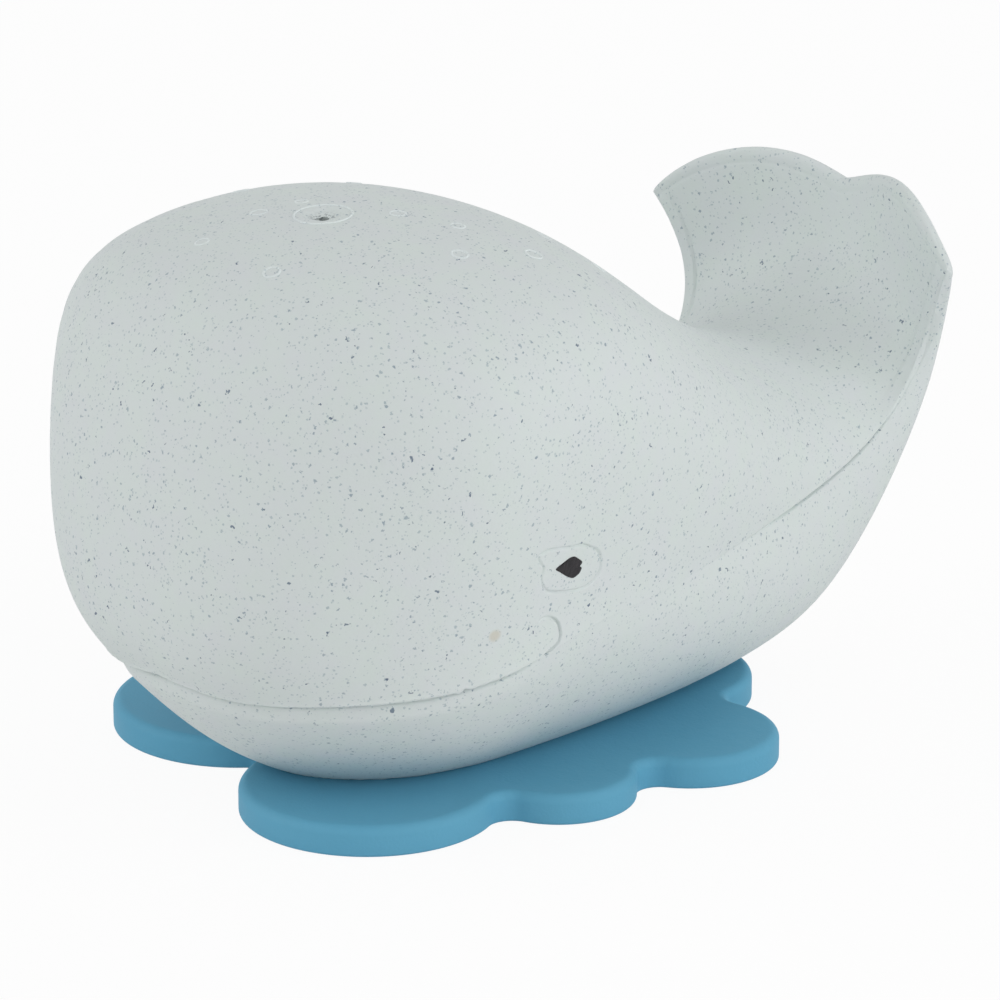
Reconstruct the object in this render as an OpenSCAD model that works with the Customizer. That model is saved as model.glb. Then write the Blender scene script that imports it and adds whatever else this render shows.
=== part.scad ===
// Squeaky bath whale that plugs onto a puddle base, in millimetres.
// The nose points to -Y and +Z is up. The origin lies on the ground in the whale's middle plane.

/* [Whale body] */
// Length from the brow to the back of the tail
body_l = 131; // [120:1:150]
// Width across the cheeks
body_w = 78; // [66:1:82]
// Height from the flat belly to the crown
body_h = 71.5; // [66:0.5:82]
// Thickness of the rubber wall
wall = 3; // [2:0.25:4]
// Overhang of the upper lip at the front of the mouth
lip_overhang = 1.5; // [0.4:0.1:2]
// Height of the hollow under the upper lip
cove_h = 4; // [2:0.5:8]
// Overhang along the parting line of the mould, behind the mouth
parting_overhang = 0.2; // [0.1:0.05:0.4]

/* [Tail] */
// Span across the tips of the flukes
fluke_span = 54; // [46:1:62]
// Thickness of the flukes
fluke_t = 4; // [3:0.25:5]
// Rise of each fluke lobe over the notch between them
fluke_lobe = 4.5; // [3:0.5:8]

/* [Puddle base] */
// Width of the puddle, from side to side of the whale
puddle_w = 78; // [70:1:90]
// Length of the puddle, along the whale
puddle_l = 84.5; // [76:0.5:96]
// Thickness of the plate
plate_t = 4; // [3:0.25:6]
// Radius of the plate's upper edge
plate_edge = 1.2; // [0.5:0.1:1.5]
// Chamfer of the plate's lower edge
plate_chamfer = 0.5; // [0.2:0.1:1]
// Radius of the hollows between the lobes
valley_r = 3; // [2:0.25:5]

/* [Plug and belly opening] */
// Length of the opening in the belly
opening_l = 36; // [28:1:40]
// Width of the opening in the belly
opening_w = 18; // [14:0.5:20]
// Clearance between the plug and the opening, on each side
plug_gap = 0.3; // [0.2:0.05:0.5]
// Height of the plug above the plate
plug_h = 11; // [7:0.5:14]
// Radius of the plug's leading edge
plug_edge = 2; // [1:0.25:3]

/* [Blowhole] */
// Place of the blowhole on the crown, as a share of the body's run from mouth to flukes
blow_share = 0.346; // [0.32:0.002:0.38]
// Diameter of the blowhole
blow_d = 2.4; // [1.6:0.1:3]
// Outer diameter of the raised ring round the blowhole
ring_d = 7.8; // [6:0.1:10]
// Radius of the ring's bead
ring_bead = 0.5; // [0.3:0.05:0.8]
// Depth of the dish inside the ring
dish_depth = 0.5; // [0.2:0.1:0.8]

/* [Squeaker] */
// Outer diameter of the squeaker's barrel
barrel_d = 10; // [9:0.25:12]
// Length of the barrel
barrel_l = 12; // [10:0.5:15]
// Wall of the barrel
barrel_wall = 1.2; // [0.8:0.1:1.5]
// Diameter of the barrel's flange
flange_d = 13; // [12.5:0.25:15]
// Thickness of the barrel's flange
flange_t = 1.2; // [0.8:0.1:2]
// Clearance round a pushed-in squeaker piece
squeaker_fit = 0.1; // [0.05:0.01:0.15]
// Wall of the rubber socket that grips the barrel
socket_wall = 2.4; // [1.5:0.1:3]
// Rubber between the crown's wall and the end of the barrel
socket_roof = 1; // [0.5:0.1:2]
// Width of the reed
reed_w = 4.6; // [3.6:0.1:5]
// Thickness of the reed
reed_t = 0.3; // [0.2:0.05:0.4]
// Gap on each side of the reed
reed_gap = 0.2; // [0.15:0.01:0.3]
// Length of the reed's root, which the wedge holds
reed_root = 3; // [2:0.25:4]
// Radius of the trough under the reed
trough_r = 1.8; // [1.2:0.1:2]

/* [Eyes] */
// Place of the eyes, as a share of the body's run from mouth to flukes
eye_share = 0.36; // [0.32:0.002:0.38]
// Angle of the eyes above the parting line
eye_angle = 4; // [2:0.1:8]
// Diameter of the round end of the eye
eye_d = 3.4; // [2.5:0.1:4.5]
// Length of the eye with its point
eye_l = 4.6; // [3.6:0.1:6]
// Depth of the moulded pocket that holds the eye's paint
eye_depth = 0.6; // [0.4:0.05:1]
// Clearance round the eye in its pocket
eye_fit = 0.05; // [0.02:0.01:0.1]

/* [Hidden] */
$fn = 64;
eps = 0.01;

rubber_grey = [0.78, 0.81, 0.81];
puddle_blue = [0.31, 0.54, 0.65];
squeaker_white = [0.92, 0.92, 0.9];
reed_clear = [0.8, 0.85, 0.88];
eye_black = [0.12, 0.11, 0.12];

// Guide curves of the body, one point at each station from the mouth to the flukes' edge.
// They are drawn at this width, length and height, with the flat of the belly at z = 0.
drawn = [78, 131, 71.5];
// Mouth line, parting line along the flank and crease of the tail, on the left side: x, y, z
side_line = [
    [0, -36.5, 18], [11, -35, 16.5], [21, -28.5, 17], [29.5, -18, 17.5], [34, -7, 19.5],
    [34.5, 4.5, 23.5], [33.5, 17.5, 23.5], [31, 31, 25], [27, 44.5, 25], [22.5, 59, 25.5],
    [20.5, 72.5, 29], [21.5, 79.5, 38.5], [24, 79, 47.5], [27, 77.5, 52.5]
];
// Brow, crown, back and the dished front of the flukes, on the middle plane: y, z
crown_line = [
    [-36.5, 18], [-41, 24], [-41, 38], [-33, 65.5], [-20, 70.5],
    [3.5, 72.5], [18.5, 68], [36, 55], [50, 46.5], [62.5, 40.5],
    [75, 39], [83, 45], [85.5, 49], [86, 57]
];
// Chin, belly and the back of the flukes, on the middle plane: y, z
keel_line = [
    [-36.5, 18], [-32, 11], [-24, 4], [-12, -2.5], [0, -5],
    [11, -5], [23, -4], [39, -3], [55, -1.5], [69, 1],
    [80.5, 12.5], [86, 29], [90, 42], [90, 54]
];
// Swell of the section above and below the side line, and how sharply the upper half is dished
cheek_swell = [0, 2, 4, 5.5, 11.5, 10, 7.5, 4.5, 2, 0.5, 0, 0, 0, 0];
jaw_swell = [0, -2, -4.5, -5, -5, -3.5, -1.5, 1, 2, 2, 1, 0.5, 0.5, 0];
section_dish = [0.9, 0.9, 0.85, 0.66, 0.58, 0.6, 0.73, 0.9, 1, 1.2, 1.5, 2.2, 3.5, 4];

// Where the lip's overhang starts to fade and where the mouth ends, in stations
mouth_fade = 2.4;
mouth_corner = 4.5;
// Over how many stations the tail turns from a round stalk into flat flukes
fluke_stations = 4;
// How far out towards the tips the flukes' lobes rise, and the turns that round off their edge
lobe_power = 1.3;
edge_turns = [35, 65];
// The cavity runs between these stations, and the flukes beyond it are solid
cavity_from = 0.7;
cavity_to = 10.2;
// Rings along the body and points on each half ring, for the skin and for the cavity
skin_rings = 56;
skin_half = 28;
cavity_rings = 28;
cavity_half = 14;
// Steps along and round the body that its directions are measured over
along_step = 0.05;
round_step = 2;
// How much closer the skin's points lie at the side line than at the crown, from 0 to 1
side_crowd = 0.45;

// Lobes of the puddle as drawn, anticlockwise from the front right: x, y, radius
lobes_drawn = [
    [-24, -1.5, 17], [10, -10.5, 16.5], [23.5, 9.5, 10], [25, 31.5, 11.8],
    [6, 44, 13.5], [-14, 38, 13], [-27, 21, 13]
];
// Middle of the puddle, and place of the plug along it
puddle_mid = [0, 14];
plug_y = 6;
// Steps round each lobe, each hollow and the plate's upper edge
lobe_steps = 16;
valley_steps = 6;
edge_steps = 4;

last = len(side_line) - 1;
scale_up = [body_w / drawn.x, body_l / drawn.y, body_h / drawn.z];
belly_z = plate_t;
blow_station = blow_share * last;
eye_station = eye_share * last;

function unit(v) = v / norm(v);
function smooth(t) = let (c = min(1, max(0, t))) c * c * (3 - 2 * c);

// One row of section values for each station. The last one takes the span and thickness of the flukes.
function station_row(i) =
    let (tip = i == last)
    [
        tip ? fluke_span / 2 : side_line[i].x * scale_up.x,
        side_line[i].y * scale_up.y,
        side_line[i].z * scale_up.z,
        crown_line[i].x * scale_up.y,
        crown_line[i].y * scale_up.z,
        tip ? crown_line[i].x * scale_up.y + fluke_t : keel_line[i].x * scale_up.y,
        keel_line[i].y * scale_up.z,
        cheek_swell[i] * scale_up.x,
        jaw_swell[i] * scale_up.x,
        section_dish[i]
    ];
rows = [for (i = [0 : last]) station_row(i)];
rows_led = concat([2 * rows[0] - rows[1]], rows, [2 * rows[last] - rows[last - 1]]);

// Section values at any place u along the body, from a cubic B-spline through the stations
function row_at(u) =
    let (i = max(0, min(floor(u), last - 1)), t = u - i)
    (pow(1 - t, 3) * rows_led[i] + (3 * pow(t, 3) - 6 * t * t + 4) * rows_led[i + 1]
        + (-3 * pow(t, 3) + 3 * t * t + 3 * t + 1) * rows_led[i + 2] + pow(t, 3) * rows_led[i + 3]) / 6;

function fluke_share(u) = smooth((u - last + fluke_stations) / fluke_stations);
function lobe_rise(u, a) =
    let (v = pow(abs(cos(a)), lobe_power))
    fluke_lobe * fluke_share(u) * 4 * v * (1 - v);
// How far the upper half overhangs the lower half at the side line
function overhang_at(u) =
    let (mouth = smooth((mouth_corner - u) / (mouth_corner - mouth_fade)))
    parting_overhang + (lip_overhang - parting_overhang) * mouth;
// Outward direction of the side line, seen from above
function side_out(u) =
    let (d = row_at(u + along_step) - row_at(u - along_step))
    unit([d[1], -d[0]]);

// Points of the skin at station u and angle a: 0 is the left side line, 90 the crown, 270 the keel
function upper_point(u, a) =
    let (r = row_at(u), h = pow(sin(a), r[9]))
    [
        r[0] * cos(a) + r[7] * sin(2 * a),
        r[1] + (r[3] - r[1]) * h,
        max(0, r[2] + (r[4] - r[2]) * h + lobe_rise(u, a))
    ];
function lower_point(u, a) =
    let (
        r = row_at(u),
        f = fluke_share(u),
        s = abs(sin(a)),
        front = f * pow(s, r[9]),
        back = pow(s, 1 - f / 2)
    )
    [
        r[0] * cos(a) - r[8] * sin(2 * a),
        r[1] + (r[3] - r[1]) * front + (r[5] - r[1] - f * (r[3] - r[1])) * back,
        max(0, r[2] + (r[4] - r[2]) * front + (r[6] - r[2] - f * (r[4] - r[2])) * back + lobe_rise(u, a))
    ];
// The lower half with its hollow under the upper one, which fades out over the hollow's height
function coved_point(u, a) =
    let (
        p = lower_point(u, a),
        r = row_at(u),
        turn = cos(a) < 0 ? -1 : 1,
        depth = 1 - smooth(norm(p - [turn * r[0], r[1], r[2]]) / cove_h),
        out = side_out(u)
    )
    p - overhang_at(u) * depth * [turn * out.x, out.y, 0];
function skin_point(u, a) = a <= 180 ? upper_point(u, a) : lower_point(u, a);
function skin_along(u, a) = unit(skin_point(u + along_step, a) - skin_point(u - along_step, a));
function skin_round(u, a) = skin_point(u, a + round_step) - skin_point(u, a - round_step);
function skin_normal(u, a) = unit(cross(skin_along(u, a), skin_round(u, a)));

// Angles over half a ring, closer together towards the side lines
half_angles = [for (k = [0 : skin_half])
    let (t = k / skin_half)
    180 * (t - side_crowd * sin(360 * t) / (2 * PI))];
// A ring of the skin: the upper half from left to right, then the lower half back
function skin_ring(u) = concat(
    [for (a = half_angles) upper_point(u, a)],
    [for (a = half_angles) coved_point(u, 180 + a)]
);
// The ring that rounds off the flukes' edge: it draws in towards the middle of their thickness
function edge_ring(turn) =
    let (
        ring = skin_ring(last),
        n = len(ring),
        up = unit(skin_point(last, 90) - skin_point(last - along_step, 90))
    )
    [for (k = [0 : n - 1])
        let (mid = (ring[k] + ring[n - 1 - k]) / 2)
        mid + (ring[k] - mid) * cos(turn) + up * fluke_t / 2 * sin(turn)];
// A ring of the cavity, one wall inside the skin
function cavity_ring(u) = [for (k = [0 : 2 * cavity_half - 1])
    let (a = (k + 0.5) * 180 / cavity_half, p = skin_point(u, a) - wall * skin_normal(u, a))
    [p.x, p.y, max(wall, p.z)]];

// Faces of a tube of rings with n points each, of a cap zipped across an end ring, and turned over
function tube_faces(rings, n, first) = [for (i = [0 : rings - 2], k = [0 : n - 1], half = [0, 1])
    let (
        a = first + i * n + k,
        b = first + i * n + (k + 1) % n,
        c = b + n,
        d = a + n
    )
    half == 0 ? [a, c, b] : [a, d, c]];
function zip_faces(n, first) = [for (k = [0 : n / 2 - 2], half = [0, 1])
    let (a = first + k, b = a + 1, c = first + n - 2 - k, d = c + 1)
    half == 0 ? [a, b, c] : [a, c, d]];
function turned(faces) = [for (f = faces) [f[2], f[1], f[0]]];

module whale_skin() {
    n = 2 * skin_half + 2;
    rings = concat(
        [for (i = [1 : skin_rings]) skin_ring(i * last / skin_rings)],
        [for (turn = edge_turns) edge_ring(turn)]
    );
    lip = 0;
    jaw = 1;
    nose_fan = [for (k = [0 : n - 2]) if (k != skin_half) [3 + k, 2 + k, k < skin_half ? lip : jaw]];
    nose_step = [
        [n + 1, jaw, lip], [2, n + 1, lip],
        [2 + skin_half, lip, jaw], [3 + skin_half, 2 + skin_half, jaw]
    ];
    polyhedron(
        points = concat(
            [upper_point(0, 90), upper_point(0, 90) + [0, lip_overhang, 0]],
            [for (ring = rings) for (p = ring) p]
        ),
        faces = concat(
            nose_fan,
            nose_step,
            turned(tube_faces(len(rings), n, 2)),
            zip_faces(n, 2 + (len(rings) - 1) * n)
        )
    );
}

module whale_cavity() {
    n = 2 * cavity_half;
    polyhedron(
        points = [for (i = [0 : cavity_rings])
            for (p = cavity_ring(cavity_from + i * (cavity_to - cavity_from) / cavity_rings)) p],
        faces = concat(
            turned(zip_faces(n, 0)),
            turned(tube_faces(cavity_rings + 1, n, 0)),
            zip_faces(n, cavity_rings * n)
        )
    );
}

// Puts children on the skin with +Z along its normal and +X towards the nose
module on_skin(u, a) {
    p = skin_point(u, a);
    n = skin_normal(u, a);
    x = -skin_along(u, a);
    y = cross(n, x);
    multmatrix([
        [x.x, y.x, n.x, p.x],
        [x.y, y.y, n.y, p.y],
        [x.z, y.z, n.z, p.z],
        [0, 0, 0, 1]
    ]) children();
}

// A bar with round ends along Y, centred on the plug's axis, from a profile of half its width
module round_ended(length, width) {
    straight = length - width;
    translate([0, plug_y + straight / 2, 0]) rotate_extrude(angle = 180) children();
    translate([0, plug_y - straight / 2, 0]) rotate([0, 0, 180]) rotate_extrude(angle = 180) children();
    translate([0, plug_y + straight / 2, 0]) rotate([90, 0, 0]) linear_extrude(straight) {
        children();
        mirror([1, 0, 0]) children();
    }
}

blow_at = skin_point(blow_station, 90);
barrel_top = belly_z + blow_at.z - wall - socket_roof;
barrel_foot = barrel_top - barrel_l;
barrel_bore = barrel_d - 2 * barrel_wall;
seat_r = barrel_bore / 2 - squeaker_fit;

module on_squeaker_axis(z) {
    translate([0, blow_at.y, z]) children();
}

module whale_body() {
    color(rubber_grey) translate([0, 0, belly_z]) difference() {
        union() {
            whale_skin();
            on_skin(blow_station, 90) rotate_extrude()
                translate([ring_d / 2 - ring_bead, 0]) circle(ring_bead);
        }
        difference() {
            whale_cavity();
            on_squeaker_axis(barrel_foot + flange_t - belly_z)
                cylinder(h = body_h, d = barrel_d + 2 * squeaker_fit + 2 * socket_wall);
        }
        on_squeaker_axis(barrel_foot + flange_t - belly_z - eps)
            cylinder(h = barrel_l - flange_t + squeaker_fit, d = barrel_d + 2 * squeaker_fit);
        on_squeaker_axis(barrel_foot - belly_z) cylinder(h = body_h, d = blow_d);
        on_skin(blow_station, 90) blowhole_dish();
        translate([0, 0, -eps]) round_ended(opening_l, opening_w) square([opening_w / 2, wall + 2 * eps]);
        eye_place() eye_shape(eye_fit, eye_depth + eps);
        mirror([1, 0, 0]) eye_place() eye_shape(eye_fit, eye_depth + eps);
    }
}

// A shallow dish as wide as the inside of the ring
module blowhole_dish() {
    dish_r = ring_d / 2 - 2 * ring_bead;
    ball_r = (dish_r * dish_r + dish_depth * dish_depth) / (2 * dish_depth);
    translate([0, 0, ball_r - dish_depth]) sphere(ball_r);
}

module puddle_base() {
    color(puddle_blue) union() {
        puddle_plate();
        translate([0, 0, plate_t]) plug();
    }
}

// Lobes that set the puddle's right, left, front and back ends, and how far all are spread to fit its size
right_lobe = lobes_drawn[0];
left_lobe = lobes_drawn[3];
front_lobe = lobes_drawn[1];
back_lobe = lobes_drawn[4];
spread_x = (puddle_w - right_lobe[2] - left_lobe[2]) / (left_lobe.x - right_lobe.x);
spread_y = (puddle_l - front_lobe[2] - back_lobe[2]) / (back_lobe.y - front_lobe.y);
lobes = [for (l = lobes_drawn) [l.x * spread_x, puddle_mid.y + (l.y - puddle_mid.y) * spread_y, l[2]]];
function lobe(i) = lobes[(i + len(lobes)) % len(lobes)];
function flat(v) = [v.x, v.y];
// Middle of the hollow between two lobes, which touches both from outside
function valley_mid(i) =
    let (
        a = flat(lobe(i)),
        ra = lobe(i)[2] + valley_r,
        rb = lobe(i + 1)[2] + valley_r,
        d = flat(lobe(i + 1)) - a,
        along = (ra * ra - rb * rb + d * d) / (2 * norm(d)),
        out = sqrt(ra * ra - along * along)
    )
    a + unit(d) * along + unit([d.y, -d.x]) * out;
function heading(v) = atan2(v.y, v.x);
function turn_left(from, to) = (to - from + 720) % 360;
// The puddle's outline drawn in by some amount: round each lobe, then back round the hollow after it
function puddle_outline(inset) = [for (i = [0 : len(lobes) - 1])
    let (
        start = heading(valley_mid(i - 1) - flat(lobe(i))),
        sweep = turn_left(start, heading(valley_mid(i) - flat(lobe(i)))),
        valley_start = start + sweep + 180,
        valley_sweep = turn_left(heading(flat(lobe(i + 1)) - valley_mid(i)), valley_start)
    )
    each concat(
        [for (k = [0 : lobe_steps])
            let (a = start + sweep * k / lobe_steps)
            flat(lobe(i)) + (lobe(i)[2] - inset) * [cos(a), sin(a)]],
        [for (k = [1 : valley_steps - 1])
            let (a = valley_start - valley_sweep * k / valley_steps)
            valley_mid(i) + (valley_r + inset) * [cos(a), sin(a)]]
    )];
// Inset and height of each ring of the plate's edge, from the ground up
plate_edges = concat(
    [[plate_chamfer, 0], [0, plate_chamfer]],
    [for (k = [0 : edge_steps])
        let (a = 90 * k / edge_steps)
        [plate_edge * (1 - cos(a)), plate_t - plate_edge + plate_edge * sin(a)]]
);

module puddle_plate() {
    rings = [for (e = plate_edges) [for (p = puddle_outline(e[0])) [p.x, p.y, e[1]]]];
    n = len(rings[0]);
    top = (len(rings) - 1) * n;
    under = len(rings) * n;
    over = under + 1;
    polyhedron(
        points = concat(
            [for (ring = rings) for (p = ring) p],
            [[puddle_mid.x, puddle_mid.y, 0], [puddle_mid.x, puddle_mid.y, plate_t]]
        ),
        faces = concat(
            tube_faces(len(rings), n, 0),
            [for (k = [0 : n - 1]) [under, k, (k + 1) % n]],
            [for (k = [0 : n - 1]) [over, top + (k + 1) % n, top + k]]
        )
    );
}

module plug() {
    half = opening_w / 2 - plug_gap;
    round_ended(opening_l - 2 * plug_gap, opening_w - 2 * plug_gap) {
        translate([0, -eps]) square([half, plug_h - plug_edge + eps]);
        square([half - plug_edge, plug_h]);
        intersection() {
            translate([half - plug_edge, plug_h - plug_edge]) circle(plug_edge);
            square([half, plug_h]);
        }
    }
}

module squeaker_barrel() {
    color(squeaker_white) on_squeaker_axis(barrel_foot) difference() {
        union() {
            cylinder(h = barrel_l, d = barrel_d);
            cylinder(h = flange_t, d = flange_d);
        }
        translate([0, 0, -eps]) cylinder(h = barrel_l - barrel_wall + eps, d = barrel_bore);
        cylinder(h = barrel_l + eps, d = blow_d);
    }
}

// Length inside the barrel, under its end wall
seat_l = barrel_l - barrel_wall - squeaker_fit;
seat_face = reed_t / 2 + reed_gap;

// One side of a round plug in the barrel's bore, beyond the reed's gap
module bore_half(length) {
    difference() {
        cylinder(h = length, r = seat_r);
        translate([-barrel_d, -barrel_d + seat_face, -eps])
            cube([2 * barrel_d, barrel_d, length + 2 * eps]);
    }
}

module reed_seat() {
    color(squeaker_white) on_squeaker_axis(barrel_foot) difference() {
        mirror([0, 1, 0]) bore_half(seat_l);
        translate([0, -seat_face, barrel_wall]) cylinder(h = seat_l, r = trough_r);
    }
}

module reed_wedge() {
    color(squeaker_white) on_squeaker_axis(barrel_foot + seat_l - reed_root) bore_half(reed_root);
}

module squeaker_reed() {
    color(reed_clear) on_squeaker_axis(barrel_foot) translate([-reed_w / 2, -reed_t / 2, barrel_wall / 2])
        cube([reed_w, reed_t, seat_l - barrel_wall / 2 - squeaker_fit]);
}

module eye_place() {
    on_skin(eye_station, eye_angle) children();
}

// A drop with its point towards the nose, sunk into the skin to some depth
module eye_shape(grow, depth) {
    r = eye_d / 2 + grow;
    tip = eye_l - eye_d / 2 + grow;
    touch = acos(r / tip);
    translate([0, 0, -eye_depth]) linear_extrude(depth) {
        circle(r);
        polygon([[tip, 0], r * [cos(touch), sin(touch)], [0, 0], r * [cos(touch), -sin(touch)]]);
    }
}

module left_eye() {
    color(eye_black) translate([0, 0, belly_z]) eye_place() eye_shape(0, eye_depth);
}

module right_eye() {
    color(eye_black) translate([0, 0, belly_z]) mirror([1, 0, 0]) eye_place() eye_shape(0, eye_depth);
}

whale_body();
puddle_base();
squeaker_barrel();
reed_seat();
reed_wedge();
squeaker_reed();
left_eye();
right_eye();
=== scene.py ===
"""Looks of a squeaky bath whale on its puddle base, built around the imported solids.

Sizes in the classes are millimetres in the part's own frame: the nose points to -Y, +X is the
whale's left side and +Z is up. Meshes are written in metres.
"""
import logging
import math
from dataclasses import dataclass
from enum import Enum
from typing import Sequence

import bmesh
import bpy
import numpy as np
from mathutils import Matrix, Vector
from mathutils.bvhtree import BVHTree
from mathutils.kdtree import KDTree


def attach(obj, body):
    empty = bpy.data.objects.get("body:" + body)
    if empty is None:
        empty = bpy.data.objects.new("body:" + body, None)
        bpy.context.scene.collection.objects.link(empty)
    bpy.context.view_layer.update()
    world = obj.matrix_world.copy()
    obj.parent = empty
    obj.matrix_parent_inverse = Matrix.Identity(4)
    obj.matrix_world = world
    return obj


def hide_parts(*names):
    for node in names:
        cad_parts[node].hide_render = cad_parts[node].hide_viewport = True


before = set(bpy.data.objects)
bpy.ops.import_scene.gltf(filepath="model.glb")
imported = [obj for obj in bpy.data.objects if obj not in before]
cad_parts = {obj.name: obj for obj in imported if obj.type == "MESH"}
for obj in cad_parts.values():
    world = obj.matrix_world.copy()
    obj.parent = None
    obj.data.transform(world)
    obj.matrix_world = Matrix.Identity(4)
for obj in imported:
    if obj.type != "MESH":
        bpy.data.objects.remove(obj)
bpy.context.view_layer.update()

MM = 0.001
PLUG_Y = 6.0
ROUND_STEPS = 72
LOG = logging.getLogger("bath_whale")

Array = np.ndarray
Piece = bpy.types.Object
Socket = bpy.types.NodeSocket
Tree = bpy.types.NodeTree
Material = bpy.types.Material
Colour = tuple[float, float, float]


class Side(Enum):
    """The whale's own left and right, as signs of X."""

    LEFT = 1
    RIGHT = -1


def smooth(t: Array) -> Array:
    """Ease from 0 to 1 with level ends."""
    c = np.clip(t, 0.0, 1.0)
    return c * c * (3.0 - 2.0 * c)


def window(t: Array, start: float, end: float, ramp: float) -> Array:
    """A plateau of 1 between start and end, with ramps of the given length inside it."""
    return smooth((t - start) / ramp) * smooth((end - t) / ramp)


def ripple(t: Array, seed: float) -> Array:
    """A smooth irregular wave between about -1 and 1, always the same for one seed."""
    waves = ((1.0, 0.50, 0.3), (2.3, 0.28, 1.7), (5.1, 0.16, 4.1), (11.7, 0.08, 2.2))
    return sum(size * np.sin(rate * t + shift + seed * rate) for rate, size, shift in waves)


def srgb(red: int, green: int, blue: int) -> Colour:
    """Linear colour of an 8-bit display colour."""
    shares = (value / 255.0 for value in (red, green, blue))
    return tuple(v / 12.92 if v <= 0.04045 else ((v + 0.055) / 1.055) ** 2.4 for v in shares)


def spline(a: Array, b: Array, c: Array, d: Array, steps: int) -> Array:
    """Points of smooth spans from rows b to rows c, led in by rows a and out by rows d.

    Args:
        a: The point before each span.
        b: Where each span starts.
        c: Where each span ends.
        d: The point after each span.
        steps: Points on each span.

    Returns:
        The points, one row each.
    """
    t = np.linspace(0.0, 1.0, steps, endpoint=False)[None, :, None]
    a, b, c, d = (q[:, None, :] for q in (a, b, c, d))
    curve = 0.5 * (2 * b + (c - a) * t + (2 * a - 5 * b + 4 * c - d) * t**2
                   + (3 * b - a - 3 * c + d) * t**3)
    return curve.reshape(-1, b.shape[2])


def closed_curve(points: Sequence[Sequence[float]], steps: int) -> Array:
    """Run a smooth closed curve through given points.

    Args:
        points: Corner points in order, without repeating the first.
        steps: Points on the curve for each corner.

    Returns:
        The curve's points, one row each.
    """
    p = np.asarray(points, float)
    return spline(np.roll(p, 1, 0), p, np.roll(p, -1, 0), np.roll(p, -2, 0), steps)


def open_curve(points: Sequence[Sequence[float]], steps: int) -> Array:
    """Run a smooth open curve through hand-set points.

    Args:
        points: Points in order.
        steps: Points on the curve for each span.

    Returns:
        The curve's points, one row each, ending on the last point.
    """
    p = np.asarray(points, float)
    led = np.vstack([2 * p[0] - p[1], p, 2 * p[-1] - p[-2]])
    return np.vstack([spline(*(led[i:len(led) - 3 + i] for i in range(4)), steps), p[-1:]])


def nearest(points: Array, line: Array) -> tuple[Array, Array]:
    """Find the nearest point of a dense line.

    Args:
        points: Points to measure, one row each.
        line: Points along the line, one row each.

    Returns:
        The distance of each point, and the index of the line's nearest point.
    """
    tree = KDTree(len(line))
    for index, place in enumerate(line):
        tree.insert(Vector(place), index)
    tree.balance()
    found = [tree.find(Vector(place))[1:] for place in points]
    return np.array([f[1] for f in found]), np.array([f[0] for f in found])


def new_object(name: str, points: Array, faces: Sequence[Sequence[int]]) -> Piece:
    """Make an object at the origin from points in millimetres.

    Args:
        name: Name of the object and its mesh.
        points: Vertices in millimetres, one row each.
        faces: Vertex indices of each face.

    Returns:
        The linked object.
    """
    mesh = bpy.data.meshes.new(name)
    mesh.from_pydata((np.asarray(points) * MM).tolist(), [], [list(map(int, f)) for f in faces])
    mesh.update()
    piece = bpy.data.objects.new(name, mesh)
    bpy.context.scene.collection.objects.link(piece)
    return piece


def tube_faces(rings: int, n: int, first: int = 0) -> list[list[int]]:
    """Quads of a tube of closed rings, facing out where the rings run against the tube's advance.

    Args:
        rings: Number of rings.
        n: Points on each ring.
        first: Index of the first point.

    Returns:
        Vertex indices of each quad.
    """
    return [
        [first + i * n + k, first + (i + 1) * n + k,
         first + (i + 1) * n + (k + 1) % n, first + i * n + (k + 1) % n]
        for i in range(rings - 1) for k in range(n)
    ]


def settle(piece: Piece, sharp_deg: float) -> None:
    """Merge doubles, turn the faces out and shade smooth up to an edge angle.

    Args:
        piece: The piece to settle.
        sharp_deg: Edge angle from which an edge stays sharp.
    """
    bm = bmesh.new()
    bm.from_mesh(piece.data)
    bmesh.ops.remove_doubles(bm, verts=bm.verts, dist=1e-7)
    bmesh.ops.recalc_face_normals(bm, faces=bm.faces)
    bm.to_mesh(piece.data)
    bm.free()
    piece.data.shade_smooth()
    piece.data.set_sharp_from_angle(angle=math.radians(sharp_deg))


def carve(piece: Piece, tool: Piece) -> None:
    """Cut a closed tool out of a closed piece and delete the tool.

    Args:
        piece: The piece to cut.
        tool: What to cut away.
    """
    cut = piece.modifiers.new("cut", "BOOLEAN")
    cut.operation = "DIFFERENCE"
    cut.solver = "MANIFOLD"
    cut.object = tool
    evaluated = piece.evaluated_get(bpy.context.evaluated_depsgraph_get())
    mesh = bpy.data.meshes.new_from_object(evaluated)
    piece.modifiers.clear()
    piece.data = mesh
    bpy.data.objects.remove(tool)


def prism(name: str, sections: Sequence[tuple[Array, float]], sharp_deg: float) -> Piece:
    """Make a closed upright tool.

    Args:
        name: Name of the tool.
        sections: Outlines with as many points each and their heights, from the top down.
        sharp_deg: Edge angle from which an edge stays sharp.

    Returns:
        The new object.
    """
    count = len(sections[0][0])
    points = np.vstack([np.c_[outline, np.full(count, z)] for outline, z in sections])
    end = len(points)
    caps = [list(range(count)), list(range(end - 1, end - count - 1, -1))]
    piece = new_object(name, points, tube_faces(len(sections), count) + caps)
    settle(piece, sharp_deg)
    return piece


def circle(radius: float | Array, y: float) -> Array:
    """Outline of a round on the middle plane; its radius may change from point to point."""
    turn = np.linspace(0.0, 2 * math.pi, ROUND_STEPS, endpoint=False)
    return np.stack([radius * np.cos(turn), y + radius * np.sin(turn)], 1)


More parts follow.
